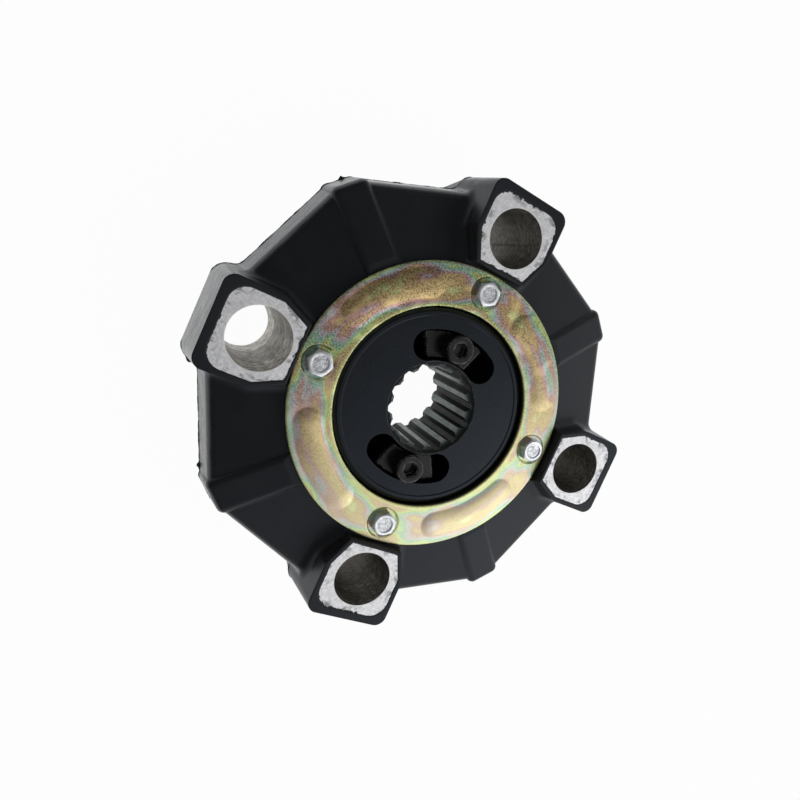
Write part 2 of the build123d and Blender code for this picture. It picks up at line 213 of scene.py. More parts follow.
class BoltSettings(bpy.types.PropertyGroup):
    """Bright zinc of the ring's bolts."""

    colour: colour_property("Colour", "Bright zinc", (0.74, 0.76, 0.79))
    roughness: share_property("Roughness", "Roughness of the plating", 0.27)


class HubSettings(bpy.types.PropertyGroup):
    """Black finish and machined bore of the hub."""

    black: colour_property("Black", "Black finish", (0.0036, 0.0037, 0.0050))
    steel: colour_property("Steel", "Broached teeth of the bore", (0.115, 0.143, 0.138))
    # The film colour also paints shade in the roots between the teeth.
    film: colour_property("Film", "Oil film between the teeth", (0.006, 0.007, 0.007))
    haze: colour_property("Haze", "Hazy patches on the black", (0.0072, 0.0076, 0.0096))
    sheen: colour_property("Sheen", "Tint of the black's reflections", (0.72, 0.84, 1.0))
    scratch: colour_property("Scratch", "Scratches in the black", (0.060, 0.062, 0.068))
    # Worn corners, which also carry painted highlights along the edges.
    worn: colour_property("Worn", "Worn corners", (0.16, 0.16, 0.17))
    worn_steel: colour_property("Worn steel", "Worn corners of the teeth", (0.40, 0.42, 0.42))
    roughness: share_property("Roughness", "Roughness of the black finish", 0.23)


class ClampSettings(bpy.types.PropertyGroup):
    """Oiled black finish of the clamping wedges and their screws."""

    wedge: colour_property("Wedge", "Wedge's black finish", (0.0040, 0.0042, 0.0050))
    screw: colour_property("Screw", "Screw's black finish", (0.0070, 0.0070, 0.0072))
    grease: colour_property("Grease", "Greasy patches", (0.011, 0.011, 0.012))
    # Worn corners: also painted highlights along the edges.
    worn: colour_property("Worn", "Worn corners", (0.42, 0.42, 0.42))
    roughness: share_property("Roughness", "Roughness of the oiled finish", 0.20)


class StudioSettings(bpy.types.PropertyGroup):
    """Floor, lamps and camera."""

    floor_size: length_property("Floor", "Side of the square floor", 4.0)
    floor_colour: colour_property("Floor colour", "White paper", (0.86, 0.86, 0.86))
    floor_glow: share_property("Floor glow", "Share of plain white in the floor", 0.97)
    sky: strength_property("Sky", "Room's light on its dark side", 0.20)
    glow: strength_property("Glow", "Room's light on its bright side", 1.08)
    glow_azimuth: angle_property("Glow azimuth", "Bright side's direction", -27.0)
    glow_elevation: angle_property("Glow elevation", "Bright side's height", 14.0)
    glow_edge: share_property("Glow edge", "Cosine where the bright side begins", 0.33)
    glow_full: share_property("Glow full", "Cosine where it is at its brightest", 0.72)
    softbox_distance: length_property("Softbox distance", "Softboxes to the coupling", 1.0)
    key_power: power_property("Key", "High softbox", 0.9)
    key_azimuth: angle_property("Key azimuth", "High softbox's direction", -20.0)
    key_elevation: angle_property("Key elevation", "High softbox's height", 44.0)
    key_width: length_property("Key width", "High softbox's width", 0.50)
    key_height: length_property("Key height", "High softbox's height", 0.50)
    fill_power: power_property("Fill", "Low softbox", 0.75)
    fill_azimuth: angle_property("Fill azimuth", "Low softbox's direction", 58.0)
    fill_elevation: angle_property("Fill elevation", "Low softbox's height", 19.0)
    fill_width: length_property("Fill width", "Low softbox's width", 0.95)
    fill_height: length_property("Fill height", "Low softbox's height", 0.42)
    lens: FloatProperty(name="Lens", description="Focal length", default=29.255, unit="CAMERA")
    shift_x: FloatProperty(name="Shift X", description="Photograph's framing", default=-0.06028)
    shift_y: FloatProperty(name="Shift Y", description="Photograph's framing", default=0.01285)
    azimuth: angle_property("Azimuth", "Camera's direction from +X", 172.326)
    elevation: angle_property("Elevation", "Camera's height", 62.735)
    roll: angle_property("Roll", "Camera's roll", 121.244)
    distance: length_property("Distance", "Camera to its target", 0.28382)
    target: FloatVectorProperty(
        name="Target", description="Point that the camera looks at",
        default=(0.00646, 0.00211, 0.0615), subtype="TRANSLATION", size=3,
    )
    clip_start: length_property("Clip start", "Nearest thing that the camera sees", 0.02)


SETTINGS = {
    "coupling_rubber": RubberSettings,
    "coupling_flash": FlashSettings,
    "coupling_aluminium": AluminiumSettings,
    "coupling_ring": RingSettings,
    "coupling_bolt": BoltSettings,
    "coupling_hub": HubSettings,
    "coupling_clamp": ClampSettings,
    "coupling_studio": StudioSettings,
}


class Wiring:
    """Adds nodes to one tree and links them, so that a finish reads as a few lines."""

    def __init__(self, tree):
        self.tree = tree

    def add(self, kind, **settings):
        """A new node with these settings."""
        node = self.tree.nodes.new("ShaderNode" + kind)
        for name, value in settings.items():
            setattr(node, name, value)
        return node

    def feed(self, socket, value):
        """Link an output to a socket, or set the socket's own value."""
        if isinstance(value, bpy.types.NodeSocket):
            self.tree.links.new(value, socket)
        elif socket.type == "RGBA":
            socket.default_value = (*value, 1.0)
        else:
            socket.default_value = value

    def math(self, operation, *values, clamp=False):
        """A sum on one to three numbers."""
        node = self.add("Math", operation=operation, use_clamp=clamp)
        for socket, value in zip(node.inputs, values):
            self.feed(socket, value)
        return node.outputs[0]

    def length(self, first, second):
        """Length of the long side over two short sides at right angles."""
        first = self.math("MULTIPLY", first, first)
        second = self.math("MULTIPLY", second, second)
        return self.math("SQRT", self.math("ADD", first, second))

    def vector(self, operation, *values):
        """A sum on vectors, with a vector result."""
        node = self.add("VectorMath", operation=operation)
        for socket, value in zip(node.inputs, values):
            self.feed(socket, value)
        return node.outputs["Vector"]

    def dot(self, first, second):
        """Dot product of two vectors."""
        node = self.add("VectorMath", operation="DOT_PRODUCT")
        self.feed(node.inputs[0], first)
        self.feed(node.inputs[1], second)
        return node.outputs["Value"]

    def span(self, value, low, high, start=0.0, end=1.0):
        """Number that goes smoothly from start to end while value goes from low to high."""
        node = self.add("MapRange", interpolation_type="SMOOTHSTEP")
        names = ("Value", "From Min", "From Max", "To Min", "To Max")
        for name, number in zip(names, (value, low, high, start, end)):
            self.feed(node.inputs[name], number)
        return node.outputs["Result"]

    def mix(self, share, first, second, blend="MIX"):
        """Two colours mixed."""
        node = self.add("Mix", data_type="RGBA", blend_type=blend)
        self.feed(node.inputs["Factor"], share)
        self.feed([s for s in node.inputs if s.name == "A" and s.type == "RGBA"][0], first)
        self.feed([s for s in node.inputs if s.name == "B" and s.type == "RGBA"][0], second)
        return [s for s in node.outputs if s.type == "RGBA"][0]

    def over(self, colour, other, mask, share=1.0):
        """Colour with another laid over it where the mask is 1, as strongly as share says."""
        return self.mix(self.math("MULTIPLY", mask, share), colour, other)

    def plus(self, value, mask, amount, clamp=False):
        """Number with amount added to it where the mask is 1."""
        return self.math("MULTIPLY_ADD", mask, amount, value, clamp=clamp)

    def ramp(self, value, stops):
        """Colour ramp through (place, colour) stops."""
        node = self.add("ValToRGB")
        node.color_ramp.interpolation = "EASE"
        elements = node.color_ramp.elements
        while len(elements) < len(stops):
            elements.new(0.5)
        for element, (place, colour) in zip(elements, stops):
            element.position = place
            element.color = (*colour, 1.0)
        self.feed(node.inputs["Fac"], value)
        return node.outputs["Color"]

    def place(self, stretch=(1.0, 1.0, 1.0)):
        """Place on the piece in millimetres, each axis divided by its stretch."""
        coordinates = self.add("TexCoord").outputs["Object"]
        return self.vector("MULTIPLY", coordinates, tuple(1.0 / MM / share for share in stretch))

    def noise(self, place, scale=1.0, detail=2.0, roughness=0.5, distortion=0.0):
        """Soft random number, mostly from 0.3 to 0.7."""
        node = self.add("TexNoise", normalize=True)
        names = ("Vector", "Scale", "Detail", "Roughness", "Distortion")
        for name, value in zip(names, (place, scale, detail, roughness, distortion)):
            self.feed(node.inputs[name], value)
        return node.outputs["Fac"]

    def axes(self, vector):
        """The three numbers of a vector."""
        node = self.add("SeparateXYZ")
        self.feed(node.inputs[0], vector)
        return node.outputs

    def bump(self, height, distance, strength=1.0, normal=None):
        """Normal of a surface raised by height times distance."""
        node = self.add("Bump")
        self.feed(node.inputs["Height"], height)
        self.feed(node.inputs["Distance"], distance)
        self.feed(node.inputs["Strength"], strength)
        if normal is not None:
            self.feed(node.inputs["Normal"], normal)
        return node.outputs["Normal"]

    def effect(self, group, **values):
        """One of the shared effects, with its inputs set by name."""
        node = self.add("Group", node_tree=group)
        for name, value in values.items():
            self.feed(node.inputs[name.replace("_", " ").capitalize()], value)
        return node.outputs


def new_effect(name, inputs, outputs):
    """An empty effect with named inputs (name: default) and outputs (name: kind)."""
    tree = bpy.data.node_groups.new(name, "ShaderNodeTree")
    for label, default in inputs.items():
        socket = tree.interface.new_socket(label, in_out="INPUT", socket_type="NodeSocketFloat")
        socket.default_value = default
    for label, kind in outputs.items():
        tree.interface.new_socket(label, in_out="OUTPUT", socket_type="NodeSocket" + kind)
    wiring = Wiring(tree)
    start = tree.nodes.new("NodeGroupInput").outputs
    end = tree.nodes.new("NodeGroupOutput").inputs
    return tree, wiring, start, end


def shared(name, build):
    """A shared effect, built the first time that it is asked for."""
    return bpy.data.node_groups.get(name) or build(name)


def build_grain(name):
    """Fine random height, its size in millimetres."""
    tree, wiring, start, end = new_effect(name, {"Size": 1.0, "Detail": 2.0}, {"Height": "Float"})
    frequency = wiring.math("DIVIDE", 1.0, start["Size"])
    wiring.feed(end["Height"], wiring.noise(wiring.place(), frequency, start["Detail"]))
    return tree


def build_smudges(name):
    """Soft irregular patches. Coverage is the share of the surface that they take."""
    tree, wiring, start, end = new_effect(
        name, {"Size": 10.0, "Coverage": 0.4, "Softness": 0.12}, {"Mask": "Float"}
    )
    frequency = wiring.math("DIVIDE", 1.0, start["Size"])
    cloud = wiring.noise(wiring.place(), frequency, 5.0, 0.62, 0.8)
    middle = wiring.plus(0.74, start["Coverage"], -0.5)
    low = wiring.math("SUBTRACT", middle, start["Softness"])
    high = wiring.math("ADD", middle, start["Softness"])
    wiring.feed(end["Mask"], wiring.span(cloud, low, high))
    return tree


def build_scratches(name):
    """Fine straight scratches in three directions on faces that look along the shaft."""
    tree, wiring, start, end = new_effect(
        name, {"Length": 9.0, "Width": 0.18, "Amount": 0.4}, {"Mask": "Float"}
    )
    place = wiring.place()
    edge = wiring.plus(0.76, start["Amount"], -0.16)
    top = wiring.math("ADD", edge, 0.05)
    total = 0.0
    for turn in (0.35, 1.45, 2.5):
        turned = wiring.add("VectorRotate", rotation_type="Z_AXIS")
        wiring.feed(turned.inputs["Vector"], place)
        wiring.feed(turned.inputs["Angle"], turn)
        along = wiring.math("DIVIDE", wiring.axes(turned.outputs[0])["X"], start["Length"])
        across = wiring.math("DIVIDE", wiring.axes(turned.outputs[0])["Y"], start["Width"])
        stretched = wiring.add("CombineXYZ")
        wiring.feed(stretched.inputs["X"], along)
        wiring.feed(stretched.inputs["Y"], across)
        lines = wiring.noise(stretched.outputs[0], 1.0, 1.0)
        total = wiring.math("MAXIMUM", total, wiring.span(lines, edge, top))
    wiring.feed(end["Mask"], total)
    return tree


def build_worn_edges(name):
    """Broken wear along sharp edges, and the normal of the edges rounded by that width."""
    tree, wiring, start, end = new_effect(
        name, {"Width": 0.4, "Breakup": 3.0}, {"Mask": "Float", "Normal": "Vector"}
    )
    bevel = wiring.add("Bevel", samples=6)
    wiring.feed(bevel.inputs["Radius"], wiring.math("MULTIPLY", start["Width"], MM))
    flat = wiring.add("NewGeometry").outputs["Normal"]
    turn = wiring.math("SUBTRACT", 1.0, wiring.dot(bevel.outputs["Normal"], flat))
    frequency = wiring.math("DIVIDE", 1.0, start["Breakup"])
    patches = wiring.span(wiring.noise(wiring.place(), frequency, 3.0, 0.6), 0.36, 0.62)
    wiring.feed(end["Mask"], wiring.math("MULTIPLY", wiring.span(turn, 0.01, 0.12), patches))
    wiring.feed(end["Normal"], bevel.outputs["Normal"])
    return tree


def build_boss_place(name):
    """Place within the nearest boss, in millimetres: out from its bore's axis and to its side."""
    tree, wiring, start, end = new_effect(
        name, {"Circle": boss_radius / MM}, {"Out": "Float", "Side": "Float", "Radius": "Float"}
    )
    sides = wiring.axes(wiring.vector("ABSOLUTE", wiring.place()))
    out = wiring.math("SUBTRACT", wiring.math("MAXIMUM", sides["X"], sides["Y"]), start["Circle"])
    side = wiring.math("MINIMUM", sides["X"], sides["Y"])
    wiring.feed(end["Out"], out)
    wiring.feed(end["Side"], side)
    wiring.feed(end["Radius"], wiring.length(out, side))
    return tree


def grain(wiring, **values):
    """Height of the shared grain."""
    return wiring.effect(shared("Grain", build_grain), **values)["Height"]


def smudges(wiring, **values):
    """Mask of the shared smudges."""
    return wiring.effect(shared("Smudges", build_smudges), **values)["Mask"]


def scratches(wiring, **values):
    """Mask of the shared scratches."""
    return wiring.effect(shared("Scratches", build_scratches), **values)["Mask"]


def worn_edges(wiring, **values):
    """Mask and rounded normal of the shared edge wear."""
    return wiring.effect(shared("Worn edges", build_worn_edges), **values)


def boss_place(wiring, circle):
    """Place about the nearest of four axes on a circle of this radius."""
    return wiring.effect(shared("Boss place", build_boss_place), circle=circle / MM)


def facing_ends(wiring):
    """How far a surface faces along the shaft: 1 on the ends and 0 on the side walls."""
    return wiring.math("ABSOLUTE", wiring.axes(wiring.add("NewGeometry").outputs["Normal"])["Z"])


def facing_out(wiring):
    """How far a surface faces away from the shaft: 1 on the outer walls."""
    level = wiring.vector("MULTIPLY", wiring.place(), (1.0, 1.0, 0.0))
    outward = wiring.vector("NORMALIZE", level)
    return wiring.dot(outward, wiring.add("NewGeometry").outputs["Normal"])


def shaft_radius(wiring):
    """Distance from the shaft's axis in millimetres."""
    sides = wiring.axes(wiring.place())
    return wiring.length(sides["X"], sides["Y"])


def new_material(name, **constants):
    """A material with a Principled shader, its constant values set on the shader itself."""
    material = bpy.data.materials.new(name)
    material.use_nodes = True
    shader = material.node_tree.nodes["Principled BSDF"]
    for label, value in constants.items():
        shader.inputs[label.replace("_", " ")].default_value = value
    return material, Wiring(material.node_tree), shader.inputs


def dress(names, material):
    """Give a finish to every slot of these nodes."""
    for name in names:
        for slot in frame["nodes"][name].material_slots:
            slot.material = material


def numbered(stem, count):
    """Names of a piece's copies."""
    return [f"{stem}_{number}" for number in range(1, count + 1)]


def moulded_rubber(settings):
    """Satin black rubber: orange peel, grey bloom on the faces, and streaks down the side walls
    that are dust and painted sheen.
    """
    sheen = (*settings.sheen, 1.0)
    material, wiring, surface = new_material("moulded_rubber", Specular_Tint=sheen)
    sides = wiring.span(facing_ends(wiring), 0.35, 0.10, 0.0, 0.30)
    walls = wiring.math("MAXIMUM", wiring.span(facing_out(wiring), 0.55, 0.80), sides)
    streaks = wiring.noise(wiring.place((7.0, 7.0, 0.9)), 1.0, 5.0, 0.68)
    streaks = wiring.math("MULTIPLY", wiring.span(streaks, 0.34, 0.66), settings.wall_dust_and_sheen)
    # Dust and painted sheen: the side walls lightened in streaks.
    dust_and_sheen_mask = wiring.math("MULTIPLY", walls, streaks)
    patches = smudges(wiring, size=26.0, coverage=0.5, softness=0.18)
    clean = wiring.over(settings.colour, settings.bloom, patches, 0.6)
    wiring.feed(surface["Base Color"], wiring.mix(dust_and_sheen_mask, clean, settings.dust_and_sheen))

    marks = scratches(wiring, length=14.0, width=0.3, amount=0.25)
    rough = wiring.plus(settings.roughness, patches, 0.06)
    rough = wiring.plus(rough, walls, -0.22)
    rough = wiring.plus(rough, dust_and_sheen_mask, 0.35)
    wiring.feed(surface["Roughness"], wiring.plus(rough, marks, 0.08, clamp=True))
    wiring.feed(surface["Specular IOR Level"], wiring.plus(0.26, walls, 0.22))
    edges = worn_edges(wiring, width=1.0, breakup=5.0)
    waves = wiring.bump(grain(wiring, size=9.0, detail=1.0), 0.25 * MM, 0.30, edges["Normal"])
    peel = grain(wiring, size=settings.peel_size / MM, detail=3.0)
    wiring.feed(surface["Normal"], wiring.bump(peel, 0.05 * MM, 0.4, waves))
    return material


def block_edge(wiring, place):
    """How far a place on a block's end lies in from its outline, in millimetres."""
    corner = BLOCK_CORNER_ROUND / MM
    far = (block_high.x - boss_radius) / MM - corner
    wide = block_high.y / MM - corner
    past_far = wiring.math("MAXIMUM", wiring.math("SUBTRACT", place["Out"], far), 0.0)
    past_side = wiring.math("MAXIMUM", wiring.math("SUBTRACT", place["Side"], wide), 0.0)
    to_outer = wiring.math("SUBTRACT", corner, wiring.length(past_far, past_side))
    near = (boss_radius - block_low.x) / MM
    to_inner = wiring.math("ADD", place["Out"], near)
    slope = (block_high.y - BLOCK_INNER_HALF_WIDTH) / (near * MM - BLOCK_BEND)
    closing = wiring.plus(BLOCK_INNER_HALF_WIDTH / MM, to_inner, slope)
    to_closing = wiring.math("SUBTRACT", closing, place["Side"])
    return wiring.math("MINIMUM", to_outer, wiring.math("MINIMUM", to_inner, to_closing))


def ragged_rubber(wiring, settings, to_rim):
    """Mask of the rubber that laps over a block's outline, torn in places."""
    tear = wiring.noise(wiring.place(), 0.50, 4.0, 0.65, 0.4)
    torn = wiring.span(wiring.noise(wiring.place(), 0.07, 1.0), 0.50, 0.66, 0.16, 1.0)
    torn = wiring.math("MULTIPLY", torn, settings.rubber_rag / MM)
    edge = wiring.math("MULTIPLY", wiring.span(tear, 0.40, 0.72), torn)
    return wiring.span(wiring.math("SUBTRACT", to_rim, edge), 0.10, 0.0)


def bore_stains_and_shade(wiring):
    """Mask of the brown stain and painted shade in the bores, less of it in the lit bore on -X."""
    lit_bore = wiring.span(wiring.axes(wiring.place())["X"], *LIT_BORE_X)
    coverage = wiring.plus(0.98, lit_bore, -0.50)
    stain_and_shade_mask = smudges(wiring, size=3.0, coverage=coverage, softness=0.20)
    scored = wiring.noise(wiring.place((2.2, 2.2, 1.1)), 1.0, 4.0, 0.65)
    return wiring.math("MULTIPLY", stain_and_shade_mask, wiring.span(scored, 0.34, 0.66, 0.62, 1.0))


def bore_colour(wiring, settings, stain_and_shade_mask):
    """Wall of a bore, darker past a wandering step as painted shade deep in the bore, with a light
    line along the step.
    """
    height = wiring.axes(wiring.place())["Z"]
    middle = parting_height / MM
    from_middle = wiring.math("ABSOLUTE", wiring.math("SUBTRACT", height, middle))
    depth = wiring.math("SUBTRACT", middle, from_middle)
    wander = wiring.noise(wiring.place(), 0.12, 2.0)
    step = wiring.plus(settings.step_depth / MM - 2.0, wander, 4.0)
    past_step = wiring.math("SUBTRACT", depth, step)
    # Painted shade: the bore darker past the step.
    deep = wiring.span(past_step, -0.25, 0.25)
    line = wiring.math("MULTIPLY", deep, wiring.span(past_step, 0.9, 0.3))
    bore = wiring.mix(stain_and_shade_mask, settings.bore, settings.bore_stain_and_shade)
    bore = wiring.over(bore, settings.bore_stain_and_shade, deep, 0.5)
    return wiring.over(bore, settings.bore, line, 0.08)


def milled_aluminium(settings):
    """Aluminium block: scratched ends lapped by ragged rubber, and a stained bore."""
    material, wiring, surface = new_material("milled_aluminium", Specular_IOR_Level=0.5)
    ends = wiring.span(facing_ends(wiring), 0.7, 0.9)
    place = boss_place(wiring, boss_radius)
    to_rim = block_edge(wiring, place)
    rag = wiring.math("MULTIPLY", ragged_rubber(wiring, settings, to_rim), ends)
    stain_and_shade_mask = bore_stains_and_shade(wiring)

    fine = scratches(wiring, length=6.0, width=0.12, amount=0.75)
    smears = smudges(wiring, size=4.0, coverage=0.34, softness=0.07)
    rim_smears = wiring.math("MULTIPLY", smears, wiring.span(to_rim, 3.5, 0.5, 0.15, 1.0))
    # Painted highlight: a thin bright line round the bore's edge.
    bore_rim_highlight = wiring.span(place["Radius"], bore_radius / MM + 0.45, bore_radius / MM + 0.25)
    mottle = wiring.span(wiring.noise(wiring.place(), 0.9, 5.0, 0.7), 0.3, 0.7, 0.82, 1.06)
    face = wiring.mix(1.0, settings.face, mottle, "MULTIPLY")
    face = wiring.over(face, settings.scratch, fine, 0.35)
    face = wiring.over(face, settings.grime, rim_smears, 0.7)
    face = wiring.over(face, settings.rim, bore_rim_highlight, 0.7)

    edges = worn_edges(wiring, width=0.35, breakup=1.5)
    colour = wiring.mix(ends, bore_colour(wiring, settings, stain_and_shade_mask), face)
    colour = wiring.over(colour, settings.worn, edges["Mask"], 0.6)
    colour = wiring.mix(rag, colour, bpy.context.scene.coupling_rubber.colour)
    wiring.feed(surface["Base Color"], colour)

    metal = wiring.span(ends, 0.0, 1.0, 0.75, 0.95)
    metal = wiring.plus(metal, rim_smears, -0.5)
    wiring.feed(surface["Metallic"], wiring.math("SUBTRACT", metal, rag, clamp=True))
    rough = wiring.span(ends, 0.0, 1.0, 0.46, 0.44)
    rough = wiring.plus(rough, fine, 0.12)
    rough = wiring.plus(rough, stain_and_shade_mask, 0.08)
    wiring.feed(surface["Roughness"], wiring.plus(rough, rag, 0.2, clamp=True))
    relief = wiring.plus(grain(wiring, size=0.5, detail=4.0), fine, -0.6)
    relief = wiring.plus(relief, rag, 1.5)
    wiring.feed(surface["Normal"], wiring.bump(relief, 0.10 * MM, 0.45, edges["Normal"]))
    return material


def ring_clouds(wiring):
    """Large and small random clouds, drawn out along the ring."""
    sides = wiring.axes(wiring.place())
    along = wiring.add("CombineXYZ")
    for axis in "XY":
        wiring.feed(along.inputs[axis], wiring.math("DIVIDE", sides[axis], CLOUD_LENGTH))
    wiring.feed(along.inputs["Z"], wiring.math("DIVIDE", shaft_radius(wiring), CLOUD_WIDTH))
    large = wiring.noise(along.outputs[0], detail=1.0, roughness=0.45, distortion=0.6)
    small = wiring.noise(along.outputs[0], 2.3, detail=1.0, distortion=0.5)
    return large, small


def passivation_colour(wiring, settings, layer):
    """Interference colour of a passivation layer, in the order that the photograph shows."""
    bands = (
        (0.00, settings.lemon),
        (0.12, settings.gold),
        (0.26, settings.gold),
        (0.36, settings.rose),
        (0.46, settings.lilac),
        (0.55, settings.green),
        (0.67, settings.lime),
        (0.76, settings.gold),
        (0.90, settings.rose),
        (1.00, settings.green),
    )
    return wiring.ramp(wiring.math("PINGPONG", layer, 1.0), bands)


def speckled(wiring, tint, lit_side):
    """Tint with fine speckle, and with dark coarse speckle in patches kept off the side painted as
    lit, so that the far side is also darker as painted shade.
    """
    dull = smudges(wiring, size=13.0, coverage=0.62, softness=0.10)
    dull = wiring.math("MULTIPLY", dull, wiring.math("SUBTRACT", 1.0, lit_side))
    coarse = wiring.noise(wiring.place(), 1.3, 5.0, 0.8)
    coarse = wiring.over(WHITE, wiring.span(coarse, 0.36, 0.62, 0.14, 0.86), dull, 0.95)
    tint = wiring.mix(1.0, tint, coarse, "MULTIPLY")
    fine = wiring.span(wiring.noise(wiring.place(), 1.9, 4.0, 0.75), 0.3, 0.7, 0.86, 1.08)
    return wiring.mix(1.0, tint, fine, "MULTIPLY")


def yellow_zinc(settings):
    """Yellow passivated sheet, its colours in bands along the beads and round the bolts, paler on
    one side as painted light.
    """
    material, wiring, surface = new_material("yellow_zinc", Metallic=1.0)
    from_middle = wiring.math("SUBTRACT", shaft_radius(wiring), RING_MIDDLE / MM)
    rim = wiring.math("DIVIDE", wiring.math("ABSOLUTE", from_middle), RING_HALF_WIDTH / MM)
    bolt = boss_place(wiring, bolt_circle)["Radius"]
    dish = DISH_RADIUS / MM
    clouds, patches = ring_clouds(wiring)
    # Side of the ring that is painted as lit.
    lit_side = wiring.span(wiring.dot(wiring.place(), LIT_SIDE_DIRECTION), *LIT_SIDE_REACH)

    layer = wiring.span(rim, 0.25, 1.05, 0.21, 0.61)
    for wander, share in ((clouds, 1.7), (patches, 0.5)):
        wander = wiring.math("SUBTRACT", wander, 0.5)
        layer = wiring.plus(layer, wander, share * settings.drift)
    layer = wiring.plus(layer, wiring.span(bolt, dish * 2.3, dish * 0.9), 0.27)
    tint = passivation_colour(wiring, settings, layer)
    # Painted light: the side towards the lamps laid over with the pale colour.
    tint = wiring.over(tint, settings.pale_lit_side, lit_side, 0.40)
    # Lemon lines along the ring's rims, and a painted highlight round the mouth of each bolt's
    # dish.
    mouth = wiring.math("ABSOLUTE", wiring.math("SUBTRACT", bolt, dish + 0.25))
    mouth = wiring.span(mouth, 0.40, 0.10)
    rim_lines_and_dish_highlight = wiring.math("MAXIMUM", wiring.span(rim, 0.90, 0.96), mouth)
    tint = wiring.over(tint, settings.lemon, rim_lines_and_dish_highlight, 0.7)
    tint = speckled(wiring, tint, lit_side)
    marks = scratches(wiring, length=5.0, width=0.16, amount=0.25)
    wiring.feed(surface["Base Color"], wiring.over(tint, settings.scratch, marks, 0.5))

    rough = wiring.plus(settings.roughness - 0.06, patches, 0.12)
    wiring.feed(surface["Roughness"], wiring.plus(rough, marks, 0.2, clamp=True))
    rolling = wiring.noise(wiring.place((0.35, 9.0, 9.0)), 1.0, 2.0)
    relief = wiring.plus(grain(wiring, size=0.42, detail=3.0), rolling, 0.5)
    edges = worn_edges(wiring, width=1.2, breakup=3.0)
    softened = wiring.vector("MULTIPLY", edges["Normal"], (0.60, 0.60, 1.0))
    softened = wiring.vector("NORMALIZE", softened)
    dents = wiring.bump(grain(wiring, size=11.0, detail=1.0), 0.30 * MM, 0.20, softened)
    wiring.feed(surface["Normal"], wiring.bump(relief, 0.06 * MM, 0.45, dents))
    return material


def bright_zinc(settings):
    """Bright plating of the ring's bolts, rougher in the dent of the head."""
    material, wiring, surface = new_material("bright_zinc", Metallic=1.0)
    radius = boss_place(wiring, bolt_circle)["Radius"]
    dent = wiring.span(radius, DENT_RADIUS / MM * 1.02, DENT_RADIUS / MM * 0.96)
    patches = smudges(wiring, size=3.0, coverage=0.45, softness=0.10)
    mottle = wiring.noise(wiring.place(), 0.7, 3.0, 0.6, 0.5)
    mottle = wiring.mix(dent, WHITE, wiring.span(mottle, 0.35, 0.65, 0.64, 1.04))
    shade = wiring.plus(1.0, patches, -0.18)
    tint = wiring.mix(1.0, settings.colour, shade, "MULTIPLY")
    wiring.feed(surface["Base Color"], wiring.mix(1.0, tint, mottle, "MULTIPLY"))
    rough = wiring.plus(settings.roughness, dent, 0.04)
    wiring.feed(surface["Roughness"], wiring.plus(rough, patches, 0.08))
    edges = worn_edges(wiring, width=0.7, breakup=2.0)
    cast = wiring.math("MULTIPLY", wiring.noise(wiring.place(), 0.62, 3.0, 0.6, 0.6), dent)
    stamped = wiring.bump(cast, 0.6 * MM, 0.45, edges["Normal"])
    pits = grain(wiring, size=0.5, detail=3.0)
    wiring.feed(surface["Normal"], wiring.bump(pits, 0.05 * MM, 0.3, stamped))
    return material


def black_hub(settings):
    """Hub in satin black with worn corners that also carry painted edge highlights in the bore, its
    splined bore left as machined steel with painted shade between the teeth.
    """
    material, wiring, surface = new_material("black_hub", Specular_IOR_Level=0.28)
    radius = shaft_radius(wiring)
    tip = SPLINE_TIP_RADIUS / MM
    mouth = SPLINE_MOUTH_RADIUS / MM
    bore = wiring.span(radius, mouth + 0.1, mouth - 0.1)
    # Painted shade: the roots between the teeth, darkened with the film colour, less metallic and
    # rougher.
    shaded_roots = wiring.span(radius, tip + 0.05, tip + 0.5)
    shaded_roots = wiring.math("MULTIPLY", shaded_roots, wiring.span(facing_ends(wiring), 0.35, 0.15))
    shaded_roots = wiring.math("MAXIMUM", shaded_roots, wiring.span(radius, tip + 1.5, tip + 1.8))
    # Worn corners, wider in the bore, where they also paint highlights along the teeth's edges.
    edges = worn_edges(wiring, width=wiring.plus(0.22, bore, 0.25), breakup=2.2)

    broached = wiring.noise(wiring.place((0.30, 0.30, 16.0)), 1.0, 4.0, 0.6)
    broached = wiring.span(broached, 0.3, 0.7, 0.62, 1.12)
    film = smudges(wiring, size=6.0, coverage=0.40, softness=0.14)
    steel = wiring.mix(1.0, settings.steel, broached, "MULTIPLY")
    steel = wiring.over(steel, settings.film, shaded_roots, 0.90)
    steel = wiring.over(steel, settings.film, film, 0.5)
    steel = wiring.over(steel, settings.worn_steel, edges["Mask"], 0.70)

    marks = scratches(wiring, length=8.0, width=0.16, amount=0.30)
    haze = smudges(wiring, size=16.0, coverage=0.5, softness=0.18)
    black = wiring.over(settings.black, settings.haze, haze, 0.5)
    black = wiring.over(black, settings.scratch, marks, 0.25)
    black = wiring.over(black, settings.worn, edges["Mask"], 0.40)
    wiring.feed(surface["Base Color"], wiring.mix(bore, black, steel))
    wiring.feed(surface["Specular Tint"], wiring.mix(bore, settings.sheen, WHITE))

    bare = wiring.plus(0.92, shaded_roots, -0.70)
    wiring.feed(surface["Metallic"], wiring.math("MULTIPLY", bore, bare))
    rough = wiring.plus(settings.roughness, haze, 0.08)
    rough = wiring.plus(rough, wiring.math("MULTIPLY", bore, shaded_roots), 0.20)
    wiring.feed(surface["Roughness"], wiring.plus(rough, bore, 0.08))
    relief = wiring.plus(grain(wiring, size=0.7, detail=3.0), marks, -0.5)
    wiring.feed(surface["Normal"], wiring.bump(relief, 0.06 * MM, 0.35, edges["Normal"]))
    return material


